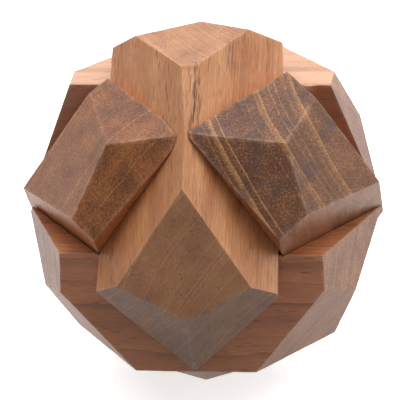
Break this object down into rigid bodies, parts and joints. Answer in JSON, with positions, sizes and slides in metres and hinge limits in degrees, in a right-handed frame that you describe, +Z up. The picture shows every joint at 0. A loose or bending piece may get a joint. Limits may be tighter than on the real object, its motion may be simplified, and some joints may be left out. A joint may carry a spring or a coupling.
{
  "type": "diagonal burr puzzle ball",
  "caption": "Wooden diagonal burr puzzle: crossed square sticks set on edge, notched into each other, with ends cut to a faceted ball, that slide apart in mirrored halves.",
  "frame": {"origin": "on the resting facet, straight below the centre of the ball", "axes": "+Z up from the facet it rests on, -Y towards the front, where the upper front stick leans back 48 degrees from upright between the left and right sticks, +X to the right"},
  "size_m": [0.0792, 0.0788, 0.0768],
  "materials": {
    "oiled_hardwood": "satin"
  },
  "bodies": {
    "upper_front_stick": {"upper_front_stick": "oiled_hardwood"},
    "lower_back_stick": {"lower_back_stick": "oiled_hardwood"},
    "left_stick": {"left_stick": "oiled_hardwood"},
    "right_stick": {"right_stick": "oiled_hardwood"},
    "upper_back_stick": {"upper_back_stick": "oiled_hardwood"},
    "lower_front_stick": {"lower_front_stick": "oiled_hardwood"}
  },
  "joints": [
    {"name": "right_slide", "type": "slide", "parent": "lower_back_stick", "child": "right_stick", "axis": [0.5774, 0.0427, 0.8154], "range_m": [0, 0.048]},
    {"name": "lower_front_slide", "type": "slide", "parent": "lower_back_stick", "child": "lower_front_stick", "axis": [-0.5774, -0.8154, 0.0427], "range_m": [0, 0.048]},
    {"name": "upper_back_slide", "type": "slide", "parent": "right_stick", "child": "upper_back_stick", "axis": [-0.5774, 0.0427, 0.8154], "range_m": [0, 0.048]},
    {"name": "left_slide", "type": "slide", "parent": "lower_front_stick", "child": "left_stick", "axis": [-0.5774, 0.0427, 0.8154], "range_m": [0, 0.048]},
    {"name": "upper_front_slide", "type": "slide", "parent": "upper_back_stick", "child": "upper_front_stick", "axis": [-0.5774, -0.8154, 0.0427], "range_m": [0, 0.048]}
  ],
  "couplings": [
    {"joint": "left_slide", "follows": "upper_back_slide", "ratio": 1},
    {"joint": "upper_front_slide", "follows": "lower_front_slide", "ratio": 1}
  ]
}
